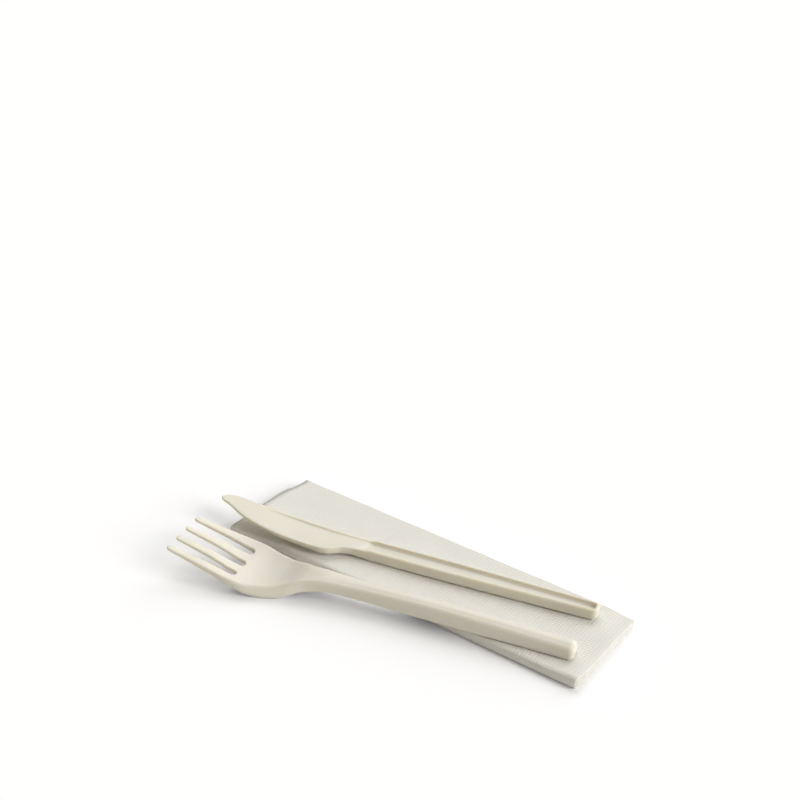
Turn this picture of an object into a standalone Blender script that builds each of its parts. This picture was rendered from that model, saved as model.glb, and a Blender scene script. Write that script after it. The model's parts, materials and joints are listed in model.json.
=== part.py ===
"""Cutlery pack: a moulded fork and knife lying on a folded paper napkin.

Metres, +Z up. The origin is the middle of the napkin's underside. +X runs along the napkin
towards the handle ends, and +Y runs across it from the fork's side to the knife's side.
Fork and knife are drawn along their own x, from the tips at -x to the handle's end at +x.
"""

import math

import bmesh
import bpy
import numpy as np

MM = 0.001

# How the pieces lie
REST_GAP = 0.3 * MM  # between the napkin's top and what lies on it
FORK_PLACE = (-6.2 * MM, -30.8 * MM)
FORK_TURN = math.radians(13.5)
KNIFE_PLACE = (-10.7 * MM, -3.9 * MM)
KNIFE_TURN = math.radians(13.0)

# Napkin: a sheet folded to a strip, whose section is one band doubled over twice
NAPKIN_LENGTH = 163 * MM
NAPKIN_WIDTH = 48 * MM
BAND_THICKNESS = 0.9 * MM
BAND_GAP = 0.33 * MM
BAND_STEP = BAND_THICKNESS + BAND_GAP
BAND_COUNT = 4
FOLD_FACETS = 10
NAPKIN_TOP = BAND_COUNT * BAND_THICKNESS + (BAND_COUNT - 1) * BAND_GAP

# Fork
FORK_LENGTH = 165 * MM
FORK_TIP_HEIGHT = 12.3 * MM
FORK_BELLY_HEIGHT = 5.3 * MM
FORK_HANDLE_HEIGHT = 5.4 * MM
FORK_HANDLE_ARCH = 0.7 * MM
FORK_HEAD_HALF = 15.0 * MM
FORK_NECK_HALF = 3.8 * MM
FORK_END_HALF = 3.9 * MM
FORK_EDGE_ROUND = 1.8 * MM
FORK_DRAFT = 0.25 * MM
FORK_CROWN = 0.5 * MM
FORK_DISH = 1.9 * MM  # how much lower the head's top is in mid-width than at its edges
FORK_SAG = 1.3 * MM  # the same for the head's underside
FORK_WALL = 1.3 * MM
FORK_END_ROUND = 1.8 * MM
TINE_SPREAD = 22.7 * MM  # between the middles of the outer tines' tips
TINE_TIP_HALF = 1.4 * MM
TINE_TIP_DEPTH = 1.3 * MM
SLOT_ROOT_SPREAD = 8.0 * MM
SLOT_ROOT_HALF = 1.5 * MM
SLOT_LENGTH = 28.6 * MM

# Knife
KNIFE_LENGTH = 166 * MM
KNIFE_HEIGHT = 4.8 * MM
KNIFE_HANDLE_HALF = 4.6 * MM
KNIFE_END_HALF = 3.3 * MM
KNIFE_END_ROUND = 2.2 * MM
KNIFE_RIM = 1.2 * MM
KNIFE_RIM_SLOPE = 0.25 * MM
KNIFE_EDGE_ROUND = 0.8 * MM
KNIFE_WEB = 1.8 * MM
RAMP_LENGTH = 2.4 * MM  # from the blade's face down to the handle's web
RAMP_SKEW = 0.42  # how far the ramp runs towards the handle for each millimetre across
BLADE_LENGTH = 69 * MM
BLADE_DEPTH = 14.6 * MM
BLADE_THICKNESS = 2.2 * MM
BLADE_TIP_THICKNESS = 1.3 * MM
BLADE_ROOT_THICKNESS = 2.8 * MM
BLADE_EDGE = 0.8 * MM
BLADE_HEEL = 2.6 * MM  # the edge's thickness where the belly turns in to the handle
BLADE_BEVEL = 1.3 * MM
SPINE_THICKNESS = 3.6 * MM
BLADE_RISE = 3.0 * MM

TABLE = NAPKIN_TOP + REST_GAP  # what both handles rest on


def smooth(stations, x):
    """Height at x of a smooth curve through (x, height) stations, which never overshoots them."""
    xs, ys = np.array(stations, float).T
    steps = np.diff(xs)
    slopes = np.diff(ys) / steps
    rates = np.zeros(len(xs))
    for i in range(1, len(xs) - 1):
        if slopes[i - 1] * slopes[i] > 0:
            rates[i] = 2 / (1 / slopes[i - 1] + 1 / slopes[i])
    rates[0], rates[-1] = slopes[0], slopes[-1]
    x = min(max(x, xs[0]), xs[-1])
    i = min(int(np.searchsorted(xs, x, side="right")) - 1, len(steps) - 1)
    t = (x - xs[i]) / steps[i]
    rise = ys[i + 1] - ys[i]
    start = rates[i] * steps[i] - rise
    end = rise - rates[i + 1] * steps[i]
    return ys[i] + rise * t + t * (1 - t) * (start * (1 - t) + end * t)


def round_end(x, end, radius):
    """How much a round end of this radius takes off a half-width at x, from 0 to the radius."""
    into = radius - abs(end - x)
    if into <= 0:
        return 0.0
    return radius - math.sqrt(max(radius * radius - into * into, 0.0))


def spaced(stops):
    """Stations along x: from each (start, step) to the next start, with the last stop closing."""
    found = []
    for (start, step), (end, _) in zip(stops, stops[1:]):
        count = max(1, round((end - start) / step))
        found += [start + (end - start) * i / count for i in range(count)]
    return found + [stops[-1][0]]


def rounding_stations(end, radius, inward, count=5):
    """Stations that follow a round end, close together where it closes."""
    turns = [math.pi / 2 * i / count for i in range(count + 1)]
    return [end + inward * radius * (1 - math.cos(a)) for a in turns]


def new_object(name, mesh, collection):
    item = bpy.data.objects.new(name, mesh)
    collection.objects.link(item)
    return item


def loft(name, rings, collection):
    """A closed solid through rings of as many points each, with a flat face on both ends."""
    bm = bmesh.new()
    rows = [[bm.verts.new(point) for point in ring] for ring in rings]
    count = len(rows[0])
    for before, after in zip(rows, rows[1:]):
        for i in range(count):
            j = (i + 1) % count
            bm.faces.new((before[i], before[j], after[j], after[i]))
    bm.faces.new(rows[0])
    bm.faces.new(rows[-1])
    bmesh.ops.recalc_face_normals(bm, faces=bm.faces)
    mesh = bpy.data.meshes.new(name)
    bm.to_mesh(mesh)
    bm.free()
    return new_object(name, mesh, collection)


def plate(name, outline, thickness, collection):
    """A flat outline made solid: a filled 2D curve with its caps welded on."""
    curve = bpy.data.curves.new(name, "CURVE")
    curve.dimensions = "2D"
    curve.fill_mode = "BOTH"
    curve.extrude = thickness / 2
    spline = curve.splines.new("POLY")
    spline.points.add(len(outline) - 1)
    for point, (x, y) in zip(spline.points, outline):
        point.co = (x, y, 0, 1)
    spline.use_cyclic_u = True
    guide = new_object(name + "_curve", curve, collection)
    bpy.context.view_layer.update()
    evaluated = guide.evaluated_get(bpy.context.evaluated_depsgraph_get())
    mesh = bpy.data.meshes.new_from_object(evaluated)
    bpy.data.objects.remove(guide)
    bm = bmesh.new()
    bm.from_mesh(mesh)
    bmesh.ops.remove_doubles(bm, verts=bm.verts, dist=0.000001)
    bmesh.ops.recalc_face_normals(bm, faces=bm.faces)
    bm.to_mesh(mesh)
    bm.free()
    mesh.name = name
    return new_object(name, mesh, collection)


def cut(item, cutter):
    cutter.hide_render = True
    cutter.display_type = "WIRE"
    cutter.parent = item
    difference = item.modifiers.new(cutter.name, "BOOLEAN")
    difference.operation = "DIFFERENCE"
    difference.solver = "EXACT"
    difference.object = cutter


def shade(item, angle):
    item.data.shade_smooth()
    item.data.set_sharp_from_angle(angle=math.radians(angle))


def material(name, colour, roughness):
    finish = bpy.data.materials.new(name)
    finish.use_nodes = True
    shader = finish.node_tree.nodes["Principled BSDF"]
    shader.inputs["Base Color"].default_value = (*colour, 1)
    shader.inputs["Roughness"].default_value = roughness
    shader.inputs["Metallic"].default_value = 0
    return finish


# Napkin

def offset_path(path, distance):
    """The path moved sideways, each point along the mean of the directions beside it."""
    moved = []
    for i, point in enumerate(path):
        before = path[max(i - 1, 0)]
        after = path[min(i + 1, len(path) - 1)]
        along = np.array(after) - np.array(before)
        along /= np.linalg.norm(along)
        moved.append((point[0] - along[1] * distance, point[1] + along[0] * distance))
    return moved


def half_turn(y, low, high, side):
    """Points of a fold that joins two layers, bulging to one side of y, from low to high."""
    radius = (high - low) / 2
    middle = (high + low) / 2
    turns = [math.pi * i / FOLD_FACETS for i in range(FOLD_FACETS + 1)]
    return [(y + side * radius * math.sin(a), middle - radius * math.cos(a)) for a in turns]


def build_napkin(collection):
    """The band's path runs top layer, outer fold, bottom layer, far fold, two inner layers."""
    layer = [BAND_THICKNESS / 2 + i * BAND_STEP for i in range(BAND_COUNT)]
    far = NAPKIN_WIDTH / 2
    near = -far + BAND_THICKNESS / 2 + (layer[3] - layer[0]) / 2
    far_fold = far - BAND_THICKNESS / 2 - BAND_STEP / 2
    path = [(far, layer[3])]
    path += half_turn(near, layer[0], layer[3], -1)[::-1]
    path += half_turn(far_fold, layer[0], layer[1], 1)
    path += half_turn(near, layer[1], layer[2], -1)
    path += [(far, layer[2])]
    outline = offset_path(path, BAND_THICKNESS / 2) + offset_path(path, -BAND_THICKNESS / 2)[::-1]
    napkin = plate("napkin", outline, NAPKIN_LENGTH, collection)
    napkin.rotation_euler = (math.pi / 2, 0, math.pi / 2)
    shade(napkin, 30)
    napkin.data.materials.append(material("tissue_paper", (0.79, 0.78, 0.75), 0.95))
    return napkin


# Fork

FORK_TIP = -FORK_LENGTH / 2
FORK_END = FORK_LENGTH / 2
SLOT_ROOT = FORK_TIP + SLOT_LENGTH
SHOULDER = SLOT_ROOT + 3 * MM
FOOT = SHOULDER + 10 * MM  # where the belly stands on the table
HOLLOW_START = SHOULDER + 7 * MM


def fork_top(x):
    """Height of the top surface at its edges: tips, belly, neck and the arched handle."""
    handle = TABLE + FORK_HANDLE_HEIGHT
    return smooth((
        (FORK_TIP, FORK_TIP_HEIGHT),
        (FORK_TIP + 14 * MM, FORK_TIP_HEIGHT - 2.8 * MM),
        (SLOT_ROOT, FORK_BELLY_HEIGHT + 1.3 * MM),
        (SHOULDER + 6 * MM, FORK_BELLY_HEIGHT),
        (SHOULDER + 13 * MM, FORK_BELLY_HEIGHT + 0.3 * MM),
        (SHOULDER + 25 * MM, handle - 1.4 * MM),
        (SHOULDER + 35 * MM, handle - 0.15 * MM),
        (0, handle),
        (30 * MM, handle + FORK_HANDLE_ARCH),
        (FORK_END, handle - 0.4 * MM),
    ), x)


def fork_bottom(x):
    """Height of the lower edges: the belly stands on the table, the handle on the napkin."""
    return smooth((
        (FORK_TIP, FORK_TIP_HEIGHT - TINE_TIP_DEPTH),
        (FORK_TIP + 14 * MM, FORK_TIP_HEIGHT - 4.8 * MM),
        (SLOT_ROOT, 3.8 * MM),
        (SHOULDER + 5 * MM, 1.0 * MM),
        (FOOT, 0),
        (SHOULDER + 15 * MM, 0.35 * MM),
        (SHOULDER + 25 * MM, TABLE - 0.9 * MM),
        (SHOULDER + 36 * MM, TABLE + 0.8 * MM),
        (15 * MM, TABLE),
        (FORK_END, TABLE),
    ), x)


def fork_half(x):
    """Half of the outline's width at its lower edges, the tines' outer sides included."""
    half = smooth((
        (FORK_TIP, TINE_SPREAD / 2 + TINE_TIP_HALF),
        (FORK_TIP + 14 * MM, FORK_HEAD_HALF - 1.2 * MM),
        (SLOT_ROOT, FORK_HEAD_HALF - 0.1 * MM),
        (SHOULDER + 1 * MM, FORK_HEAD_HALF),
        (SHOULDER + 9 * MM, FORK_HEAD_HALF - 2.0 * MM),
        (SHOULDER + 19 * MM, FORK_NECK_HALF + 5.7 * MM),
        (SHOULDER + 27 * MM, FORK_NECK_HALF + 2.5 * MM),
        (SHOULDER + 38 * MM, FORK_NECK_HALF + 0.9 * MM),
        (8 * MM, FORK_NECK_HALF),
        (FORK_END, FORK_END_HALF),
    ), x)
    return half - round_end(x, FORK_TIP, TINE_TIP_HALF) - round_end(x, FORK_END, FORK_END_ROUND)


def fork_crown(x):
    """Rise of the top surface in mid-width: dished at the head, crowned along the handle."""
    return smooth((
        (FORK_TIP, 0),
        (FORK_TIP + 14 * MM, -FORK_DISH + 1.5 * MM),
        (SLOT_ROOT, -FORK_DISH),
        (SHOULDER + 6 * MM, -FORK_DISH + 0.3 * MM),
        (SHOULDER + 20 * MM, -0.4 * MM),
        (SHOULDER + 34 * MM, FORK_CROWN),
        (FORK_END, FORK_CROWN),
    ), x)


def fork_sag(x):
    """How much lower the underside is in mid-width: only under the dished head."""
    return smooth((
        (FORK_TIP + 16 * MM, 0), (SLOT_ROOT + 1 * MM, FORK_SAG), (HOLLOW_START, 0), (FORK_END, 0),
    ), x)


def fork_ring(x):
    """The section at x: a dished or crowned top, rounded edges, drafted sides and the base."""
    half = fork_half(x)
    top = fork_top(x)
    low = fork_bottom(x)
    depth = top - low
    draft = FORK_DRAFT * min(1, depth / FORK_HANDLE_HEIGHT)
    radius = min(FORK_EDGE_ROUND, 0.45 * depth, 0.48 * half)
    foot = min(0.35 * MM, 0.2 * depth)
    inner = half - draft - radius
    across = [-1 + i / 4 for i in range(9)]
    ring = [(x, inner * t, top + fork_crown(x) * (1 - t * t)) for t in across]
    for a in (30, 60, 90):
        turn = math.radians(a)
        ring.append((x, inner + radius * math.sin(turn), top - radius * (1 - math.cos(turn))))
    rounded = [(x, -y, z) for _, y, z in reversed(ring[9:])]
    base = [(x, (half - foot) * t, low - fork_sag(x) * (1 - t * t)) for t in (1, 0.5, 0, -0.5, -1)]
    return ring + [(x, half, low + foot)] + base + [(x, -half, low + foot)] + rounded


def tine_slot(index, collection):
    """A slot between two tines: round at its root, wider to the tips, and flared round them."""
    root_y = (index - 1) * SLOT_ROOT_SPREAD
    pitch = TINE_SPREAD / 3
    tip_y = (index - 1) * pitch
    tip_half = pitch / 2 - TINE_TIP_HALF
    turns = [math.pi * (i / 10 - 0.5) for i in range(11)]
    centre = SLOT_ROOT - SLOT_ROOT_HALF
    outline = [(centre + SLOT_ROOT_HALF * math.cos(a), root_y + SLOT_ROOT_HALF * math.sin(a)) for a in turns]
    side = []
    for i in range(6):
        a = math.pi / 2 * i / 5
        back = TINE_TIP_HALF * (1 - math.sin(a))
        side.append((FORK_TIP + back, tip_half + TINE_TIP_HALF * (1 - math.cos(a))))
    outline += [(x, tip_y + y) for x, y in side]
    outline += [(FORK_TIP - 2 * MM, tip_y + pitch / 2), (FORK_TIP - 2 * MM, tip_y - pitch / 2)]
    outline += [(x, tip_y - y) for x, y in reversed(side)]
    cutter = plate(f"tine_slot_{index + 1}", outline, 40 * MM, collection)
    return cutter


def underside_hollow(collection):
    """The space under the handle, which leaves a wall all round and fades out into the head."""
    rings = []
    stations = spaced(((HOLLOW_START, 3 * MM), (0, 6 * MM), (FORK_END - FORK_WALL, 1)))
    for x in stations:
        fade = smooth(((HOLLOW_START, 0.0), (HOLLOW_START + 14 * MM, 1.0), (FORK_END, 1.0)), x)
        half = fork_half(x) - FORK_DRAFT - FORK_WALL
        half = 0.5 * MM + (half - 0.5 * MM) * smooth(((0, 0.55), (1, 1)), fade)
        low = fork_bottom(x)
        roof = low + (fork_top(x) - FORK_WALL + min(fork_crown(x), 0) - low) * fade + 0.05 * MM
        edge = roof - min(0.6 * MM, 0.4 * (roof - low))
        narrow = 0.8
        under = low - 3 * MM
        rings.append([
            (x, -half, under), (x, -half, edge), (x, -half * narrow, roof),
            (x, half * narrow, roof), (x, half, edge), (x, half, under),
        ])
    return loft("fork_hollow", rings, collection)


def build_fork(collection, cutters):
    stations = rounding_stations(FORK_TIP, TINE_TIP_HALF, 1)
    stations += spaced((
        (FORK_TIP + 3 * MM, 3 * MM), (SLOT_ROOT, 2 * MM), (FOOT, 2 * MM), (-20 * MM, 3 * MM),
        (10 * MM, 6 * MM), (FORK_END - 3 * MM, 1),
    ))
    stations += rounding_stations(FORK_END, FORK_END_ROUND, -1)[::-1]
    fork = loft("fork", [fork_ring(x) for x in stations], collection)
    for index in range(3):
        cut(fork, tine_slot(index, cutters))
    cut(fork, underside_hollow(cutters))
    fork.location = (*FORK_PLACE, 0)
    fork.rotation_euler = (0, 0, FORK_TURN)
    shade(fork, 40)
    fork.data.materials.append(material("cream_plastic_fork", (0.76, 0.73, 0.65), 0.45))
    return fork


# Knife

KNIFE_TIP = -KNIFE_LENGTH / 2
KNIFE_END = KNIFE_LENGTH / 2
BLADE_ROOT = KNIFE_TIP + BLADE_LENGTH


def knife_spine(x):
    """The far side of the outline: straight, with a slight sweep up to the rounded nose."""
    return smooth((
        (KNIFE_TIP, 4.4 * MM), (KNIFE_TIP + 0.6 * MM, 5.8 * MM), (KNIFE_TIP + 2.6 * MM, 7.4 * MM),
        (KNIFE_TIP + 7 * MM, 8.0 * MM), (KNIFE_TIP + 16 * MM, 7.2 * MM), (KNIFE_TIP + 30 * MM, 5.6 * MM),
        (BLADE_ROOT - 14 * MM, KNIFE_HANDLE_HALF - 0.3 * MM), (BLADE_ROOT, KNIFE_HANDLE_HALF),
        (10 * MM, KNIFE_HANDLE_HALF), (KNIFE_END, KNIFE_END_HALF),
    ), x) - round_end(x, KNIFE_END, KNIFE_END_ROUND)


def knife_near(x):
    """The near side of the outline: nose, curved belly, the step in to the handle, and taper."""
    belly = 4.5 * MM - BLADE_DEPTH
    return smooth((
        (KNIFE_TIP, 4.0 * MM), (KNIFE_TIP + 0.8 * MM, 3.2 * MM), (KNIFE_TIP + 5 * MM, 1.3 * MM),
        (KNIFE_TIP + 13 * MM, -3.4 * MM), (KNIFE_TIP + 24 * MM, -7.2 * MM),
        (KNIFE_TIP + 36 * MM, belly + 0.7 * MM), (KNIFE_TIP + 51 * MM, belly),
        (KNIFE_TIP + 54 * MM, belly + 0.5 * MM), (KNIFE_TIP + 60.5 * MM, -KNIFE_HANDLE_HALF - 1.0 * MM),
        (KNIFE_TIP + 65 * MM, -KNIFE_HANDLE_HALF + 0.1 * MM), (BLADE_ROOT + 4 * MM, -KNIFE_HANDLE_HALF),
        (10 * MM, -KNIFE_HANDLE_HALF), (KNIFE_END, -KNIFE_END_HALF),
    ), x) + round_end(x, KNIFE_END, KNIFE_END_ROUND)


def blade_half(x):
    """Half of the blade's thickness between its edges, which grows towards the handle."""
    return smooth((
        (KNIFE_TIP, BLADE_TIP_THICKNESS / 2), (BLADE_ROOT - 20 * MM, BLADE_THICKNESS / 2),
        (BLADE_ROOT - 4 * MM, BLADE_ROOT_THICKNESS / 2),
    ), x)


def face_half(x, y):
    """Half-thickness between the rims: the blade, an oblique ramp, the handle's web, its end."""
    ramp = BLADE_ROOT - 0.9 * MM + RAMP_SKEW * y
    return smooth((
        (ramp - RAMP_LENGTH / 2, blade_half(x)), (ramp + RAMP_LENGTH / 2, KNIFE_WEB / 2),
        (KNIFE_END - KNIFE_RIM - 0.6 * MM, KNIFE_WEB / 2), (KNIFE_END - KNIFE_RIM, KNIFE_HEIGHT / 2),
    ), x)


def knife_ring(x):
    """The section at x, the same above and below: near rim or bevelled edge, face, spine rim."""
    near, far = knife_near(x), knife_spine(x)
    width = far - near
    middle = TABLE + KNIFE_HEIGHT / 2 + BLADE_RISE * max(0, (BLADE_ROOT - x) / BLADE_LENGTH)
    full = KNIFE_HEIGHT / 2
    blade = blade_half(x)
    far_rim = smooth((
        (KNIFE_TIP + 16 * MM, blade), (BLADE_ROOT - 25 * MM, SPINE_THICKNESS / 2 - 0.2 * MM),
        (BLADE_ROOT, SPINE_THICKNESS / 2), (BLADE_ROOT + 3 * MM, full),
    ), x)
    near_rim = smooth((
        (KNIFE_TIP + 36 * MM, blade), (KNIFE_TIP + 54 * MM, BLADE_HEEL / 2 + 0.2 * MM),
        (BLADE_ROOT - 1 * MM, full * 0.8), (BLADE_ROOT + 3 * MM, full),
    ), x)
    near_side = smooth((
        (KNIFE_TIP + 24 * MM, BLADE_EDGE / 2), (KNIFE_TIP + 54 * MM, BLADE_HEEL / 2),
        (BLADE_ROOT - 3 * MM, full * 0.7), (BLADE_ROOT + 3 * MM, full - KNIFE_EDGE_ROUND),
    ), x)
    bevel = smooth(((KNIFE_TIP + 54 * MM, BLADE_BEVEL), (BLADE_ROOT - 3 * MM, KNIFE_EDGE_ROUND)), x)
    bevel = min(bevel, 0.3 * width)
    rim = min(KNIFE_RIM - KNIFE_EDGE_ROUND, 0.12 * width)
    slope = min(KNIFE_RIM_SLOPE, 0.05 * width)
    far_round = min(KNIFE_EDGE_ROUND, 0.15 * width, 0.6 * far_rim)
    near_foot = near + bevel + rim + slope
    far_foot = far - far_round - rim - slope
    side = [
        (near, near_side), (near + 0.3 * bevel, near_side + 0.7 * (near_rim - near_side)),
        (near + bevel, near_rim), (near + bevel + rim, near_rim),
        (near_foot, face_half(x, near_foot)), (far_foot, face_half(x, far_foot)),
        (far - far_round - rim, far_rim), (far - far_round, far_rim),
        (far - 0.3 * far_round, far_rim - 0.3 * far_round), (far, far_rim - far_round),
    ]
    upper = [(x, y, middle + z) for y, z in side]
    lower = [(x, y, middle - z) for y, z in reversed(side)]
    return upper + lower


def build_knife(collection):
    stations = spaced((
        (KNIFE_TIP, 0.4 * MM), (KNIFE_TIP + 1.2 * MM, 1.2 * MM), (KNIFE_TIP + 6 * MM, 3 * MM),
        (BLADE_ROOT - 18 * MM, 1.5 * MM), (BLADE_ROOT - 5 * MM, 0.8 * MM), (BLADE_ROOT + 3 * MM, 1.5 * MM),
        (BLADE_ROOT + 6 * MM, 6 * MM),
        (KNIFE_END - KNIFE_END_ROUND - 1 * MM, 0.5 * MM), (KNIFE_END - KNIFE_END_ROUND, 0.5 * MM),
    ))[:-1]
    stations += rounding_stations(KNIFE_END, KNIFE_END_ROUND, -1, 7)[::-1]
    knife = loft("knife", [knife_ring(x) for x in stations], collection)
    knife.location = (*KNIFE_PLACE, 0)
    knife.rotation_euler = (0, 0, KNIFE_TURN)
    shade(knife, 30)
    knife.data.materials.append(material("cream_plastic_knife", (0.78, 0.75, 0.67), 0.45))
    return knife


def main():
    for item in list(bpy.data.objects):
        bpy.data.objects.remove(item)
    pack = bpy.data.collections.new("cutlery_pack")
    cutters = bpy.data.collections.new("cutters")
    bpy.context.scene.collection.children.link(pack)
    bpy.context.scene.collection.children.link(cutters)
    build_napkin(pack)
    build_fork(pack, cutters)
    build_knife(pack)


main()
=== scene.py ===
import json
import math

import bmesh
import bpy
import numpy as np
from mathutils import Matrix, Vector
from mathutils.geometry import delaunay_2d_cdt

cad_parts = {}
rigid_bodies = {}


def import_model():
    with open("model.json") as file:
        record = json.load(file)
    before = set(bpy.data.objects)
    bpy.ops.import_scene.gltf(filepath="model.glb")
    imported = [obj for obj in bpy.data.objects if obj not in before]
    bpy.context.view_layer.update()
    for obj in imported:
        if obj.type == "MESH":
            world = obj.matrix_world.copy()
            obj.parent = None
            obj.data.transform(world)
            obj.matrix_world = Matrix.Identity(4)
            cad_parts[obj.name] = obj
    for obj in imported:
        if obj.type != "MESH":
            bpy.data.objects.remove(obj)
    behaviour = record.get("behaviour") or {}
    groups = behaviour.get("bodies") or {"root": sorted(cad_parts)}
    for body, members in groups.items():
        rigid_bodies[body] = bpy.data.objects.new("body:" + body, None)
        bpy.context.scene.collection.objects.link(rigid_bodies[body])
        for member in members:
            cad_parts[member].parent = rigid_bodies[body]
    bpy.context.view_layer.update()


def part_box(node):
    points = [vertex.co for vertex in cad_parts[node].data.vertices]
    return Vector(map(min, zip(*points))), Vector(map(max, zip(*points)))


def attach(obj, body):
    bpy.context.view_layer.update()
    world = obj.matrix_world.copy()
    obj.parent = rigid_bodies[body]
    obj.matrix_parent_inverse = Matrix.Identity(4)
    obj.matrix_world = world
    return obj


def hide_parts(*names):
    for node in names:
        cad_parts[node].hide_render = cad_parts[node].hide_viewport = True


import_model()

bl_info = {
    "name": "Cutlery pack",
    "version": (1, 0, 0),
    "blender": (4, 5, 0),
    "location": "3D View > Sidebar > Cutlery",
    "description": "Dresses a moulded fork and knife that lie on a folded tissue napkin",
    "category": "Object",
}

MM = 0.001
NAPKIN_LOW, NAPKIN_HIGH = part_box("napkin")

# How the pieces lie, as in the solids
REST_GAP = 0.3 * MM
TABLE = NAPKIN_HIGH.z + REST_GAP  # what both handles rest on
FORK_PLACE = (-6.2 * MM, -30.8 * MM)
FORK_TURN = math.radians(13.5)
KNIFE_PLACE = (-10.7 * MM, -3.9 * MM)
KNIFE_TURN = math.radians(13.0)

# Fork
FORK_LENGTH = 165 * MM
FORK_TIP = -FORK_LENGTH / 2
FORK_END = FORK_LENGTH / 2
FORK_TIP_HEIGHT = 12.3 * MM
FORK_BELLY_HEIGHT = 5.3 * MM
FORK_HANDLE_HEIGHT = 5.4 * MM
FORK_HANDLE_ARCH = 0.7 * MM
FORK_HEAD_HALF = 15.0 * MM
FORK_NECK_HALF = 3.8 * MM
FORK_END_HALF = 3.9 * MM
FORK_DRAFT = 0.25 * MM
FORK_CROWN = 0.5 * MM
FORK_DISH = 1.9 * MM
FORK_SAG = 1.3 * MM
FORK_WALL = 1.3 * MM
FORK_END_ROUND = 1.8 * MM
FORK_FOOT_ROUND = 0.35 * MM
HEAD_UNDERCUT = 0.5 * MM  # how much further in the lower edges of bowl and tines are rounded
HEAD_SIDE_SHARE = 0.45  # how much of their height that rounding takes
TINE_SPREAD = 22.7 * MM
TINE_PITCH = TINE_SPREAD / 3
TINE_TIP_HALF = 1.4 * MM
TINE_TIP_DEPTH = 1.3 * MM
SLOT_ROOT_SPREAD = 8.0 * MM
SLOT_ROOT_HALF = 1.5 * MM
SLOT_ROOT = FORK_TIP + 28.6 * MM
SHOULDER = SLOT_ROOT + 3 * MM
FOOT = SHOULDER + 10 * MM
HOLLOW_START = SHOULDER + 7 * MM
FORK_ROWS = (0.08, 0.25, 0.38, 0.55, 0.78, 1.05, 1.3, 1.55, 1.67, 1.8, 1.95, 2.2, 2.6)  # mm inside its outline

# Knife
KNIFE_LENGTH = 166 * MM
KNIFE_TIP = -KNIFE_LENGTH / 2
KNIFE_END = KNIFE_LENGTH / 2
KNIFE_HEIGHT = 4.8 * MM
KNIFE_HANDLE_HALF = 4.6 * MM
KNIFE_END_HALF = 3.3 * MM
KNIFE_END_ROUND = 2.2 * MM
KNIFE_RIM = 1.2 * MM
KNIFE_RIM_SLOPE = 0.4 * MM
KNIFE_EDGE_ROUND = 1.0 * MM
KNIFE_WEB = 1.8 * MM
RAMP_LENGTH = 2.4 * MM
RAMP_SKEW = 0.42
BLADE_ROOT = KNIFE_TIP + 69 * MM
BLADE_DEPTH = 14.6 * MM
BLADE_THICKNESS = 2.2 * MM
BLADE_TIP_THICKNESS = 1.3 * MM
BLADE_ROOT_THICKNESS = 2.8 * MM
BLADE_EDGE = 0.8 * MM
BLADE_HEEL = 2.6 * MM
BLADE_BEVEL = 1.3 * MM
SPINE_THICKNESS = 3.6 * MM
BLADE_RISE = 3.0 * MM
KNIFE_ROWS = (0.06, 0.2, 0.4, 0.6, 0.8, 1.0, 1.2, 1.3, 1.42, 1.6, 2.0)  # mm inside its outline


# Settings that a user would change

class CutleryShape(bpy.types.PropertyGroup):
    """Sizes of the finer forms of the moulded pieces"""

    point_spacing: bpy.props.FloatProperty(
        name="Point spacing", description="Distance between the points that follow an outline",
        default=0.5 * MM, min=0.3 * MM, max=2 * MM, subtype="DISTANCE", unit="LENGTH")
    fork_edge_round: bpy.props.FloatProperty(
        name="Fork edge rounding", description="Radius along the fork's upper outer edges",
        default=1.8 * MM, min=0.2 * MM, max=2.5 * MM, subtype="DISTANCE", unit="LENGTH")
    slot_edge_round: bpy.props.FloatProperty(
        name="Slot edge rounding", description="Radius along the upper edges of the slots",
        default=0.6 * MM, min=0.1 * MM, max=1.0 * MM, subtype="DISTANCE", unit="LENGTH")


class CutleryTissue(bpy.types.PropertyGroup):
    """Sizes of the folded napkin"""

    leaf_thickness: bpy.props.FloatProperty(
        name="Leaf thickness", description="Thickness of one leaf of tissue",
        default=0.15 * MM, min=0.05 * MM, max=0.3 * MM, subtype="DISTANCE", unit="LENGTH")
    ruffle: bpy.props.FloatProperty(
        name="Ruffle", description="Height of the soft waves over the stack of leaves",
        default=0.35 * MM, min=0.0, max=1.5 * MM, subtype="DISTANCE", unit="LENGTH")
    ruffle_size: bpy.props.FloatProperty(
        name="Ruffle size", description="Distance between the soft waves",
        default=16 * MM, min=2 * MM, max=60 * MM, subtype="DISTANCE", unit="LENGTH")
    edge_stray: bpy.props.FloatProperty(
        name="Edge stray", description="How far single leaves stray from the stack's edge",
        default=0.6 * MM, min=0.0, max=3 * MM, subtype="DISTANCE", unit="LENGTH")
    emboss_pitch: bpy.props.FloatProperty(
        name="Emboss pitch", description="Distance between the embossed dots",
        default=1.4 * MM, min=0.5 * MM, max=5 * MM, subtype="DISTANCE", unit="LENGTH")
    seed: bpy.props.IntProperty(
        name="Seed", description="Fixed start of the random waves", default=7, min=0, max=1000)


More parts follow.
